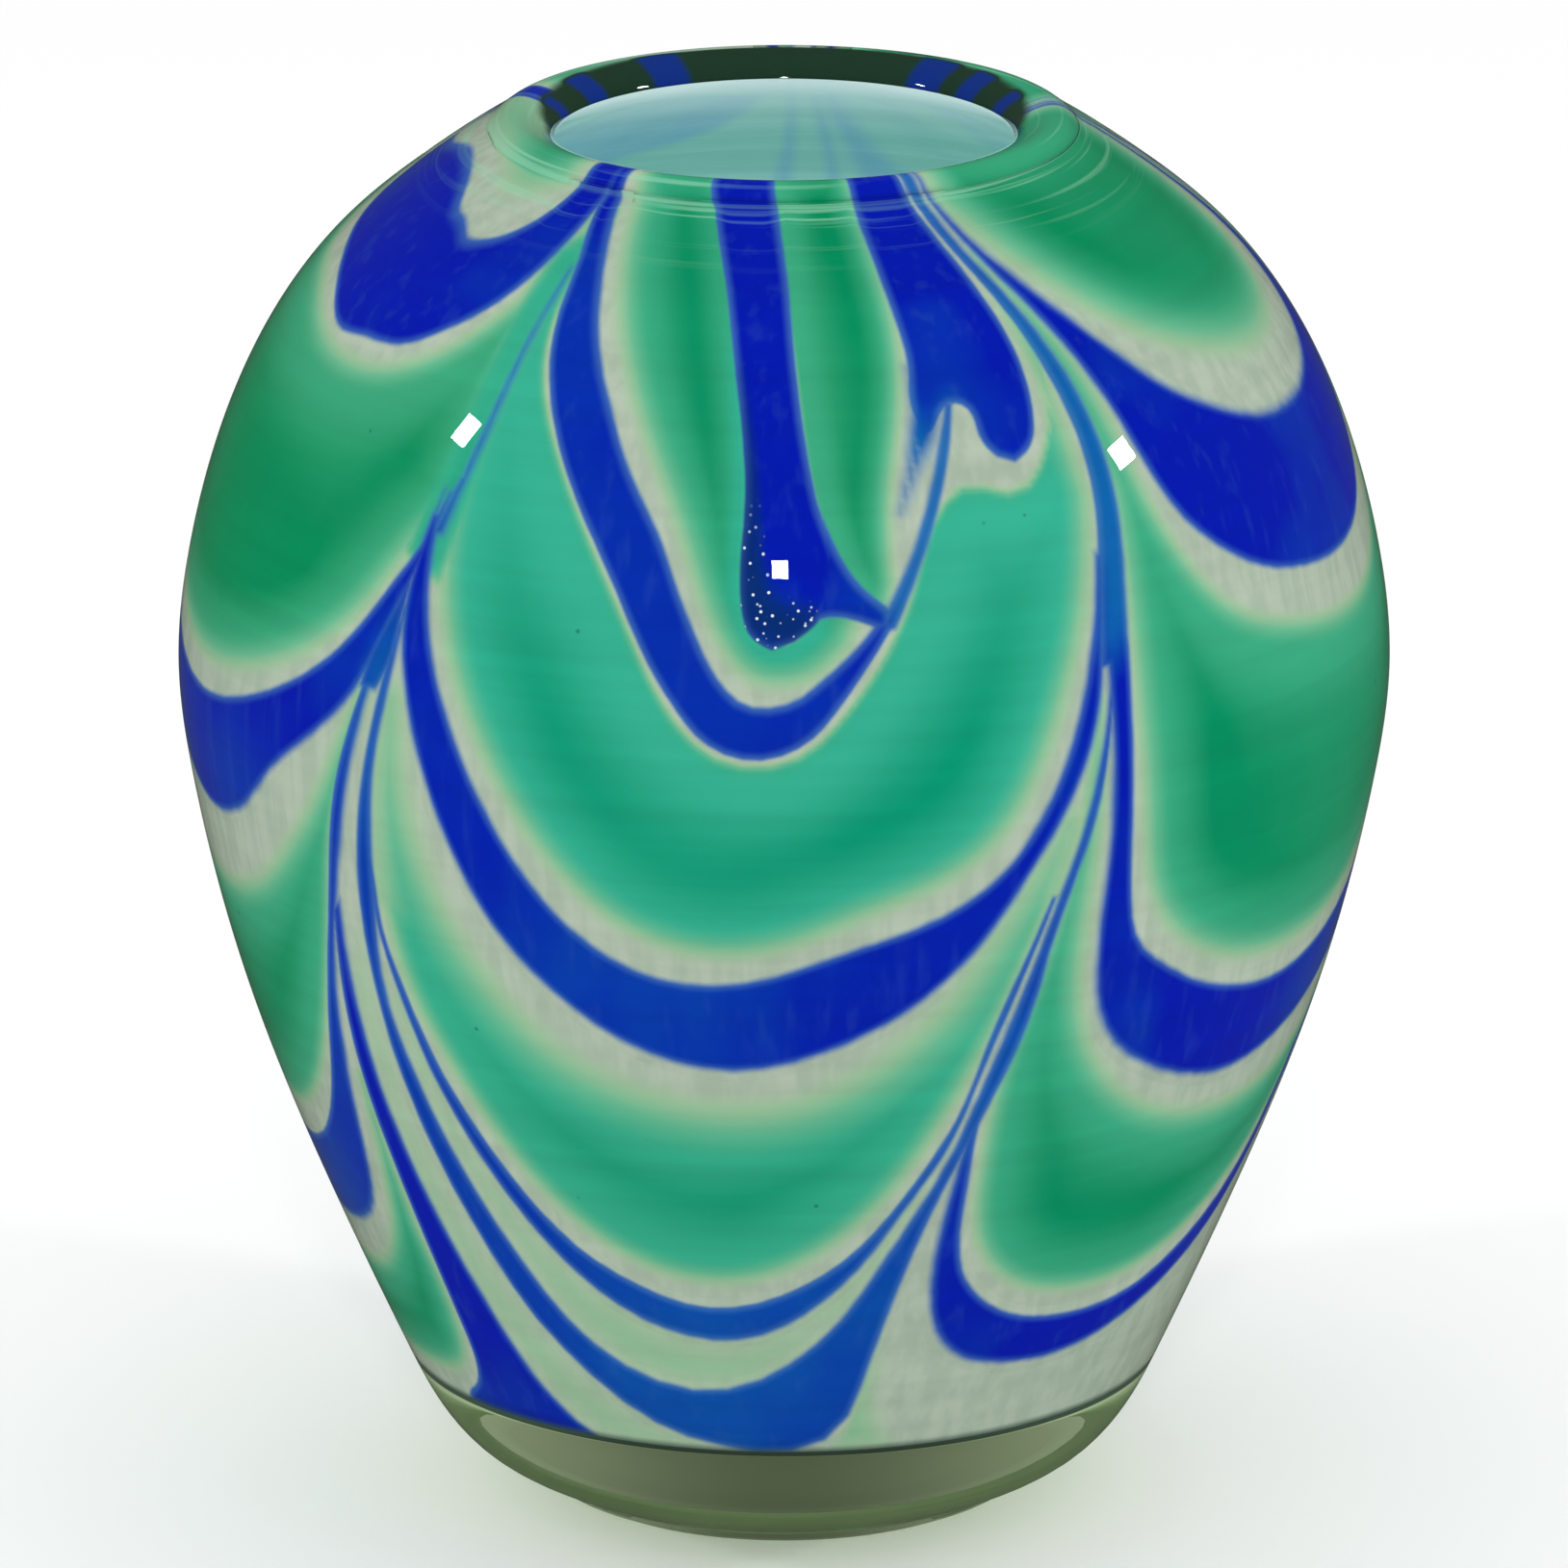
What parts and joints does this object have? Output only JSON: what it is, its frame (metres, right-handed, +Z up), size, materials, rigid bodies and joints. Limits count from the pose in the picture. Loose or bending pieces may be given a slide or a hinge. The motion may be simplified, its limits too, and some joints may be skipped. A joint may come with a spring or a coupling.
{
  "type": "hand blown art glass vase",
  "caption": "Ovoid cased glass vase with an opal lining, combed cobalt and green trails under clear glass, a narrow mouth and a thick clear base.",
  "frame": {"origin": "middle of the foot, on the plane it stands on", "axes": "+Z up the vase's axis, -Y towards the side with the short central drip"},
  "size_m": [0.168, 0.168, 0.198],
  "materials": {
    "clear_glass": "fire polished",
    "opal_glass": "glossy opal",
    "blue_glass": "glossy cobalt",
    "green_glass": "glossy emerald"
  },
  "bodies": {
    "root": {"blue_cusp_right": "blue_glass", "blue_drip": "blue_glass", "blue_drip_tail": "blue_glass", "blue_line_low": "blue_glass", "blue_line_low_left": "blue_glass", "blue_lobe": "blue_glass", "blue_loop_centre": "blue_glass", "blue_loop_centre_tail": "blue_glass", "blue_loop_left": "blue_glass", "blue_loop_left_back": "blue_glass", "blue_swag_centre": "blue_glass", "blue_swag_left": "blue_glass", "blue_swag_left_back": "blue_glass", "blue_swag_low": "blue_glass", "blue_swag_low_left": "blue_glass", "blue_swag_low_left_back": "blue_glass", "blue_swag_low_right": "blue_glass", "blue_swag_low_right_back": "blue_glass", "blue_swag_lower_right": "blue_glass", "blue_swag_lower_right_back": "blue_glass", "blue_swag_right": "blue_glass", "blue_swag_right_back": "blue_glass", "clear_casing": "clear_glass", "green_field_beside_drip": "green_glass", "green_field_centre": "green_glass", "green_field_inner": "green_glass", "green_field_left": "green_glass", "green_field_left_back": "green_glass", "green_field_low": "green_glass", "green_field_lower_left": "green_glass", "green_field_lower_left_back": "green_glass", "green_field_lower_right": "green_glass", "green_field_lower_right_back": "green_glass", "green_field_lowest_left": "green_glass", "green_field_lowest_left_back": "green_glass", "green_field_right": "green_glass", "green_field_right_back": "green_glass", "green_field_upper_right": "green_glass", "green_field_upper_right_back": "green_glass", "opal_lining": "opal_glass"}
  },
  "joints": []
}
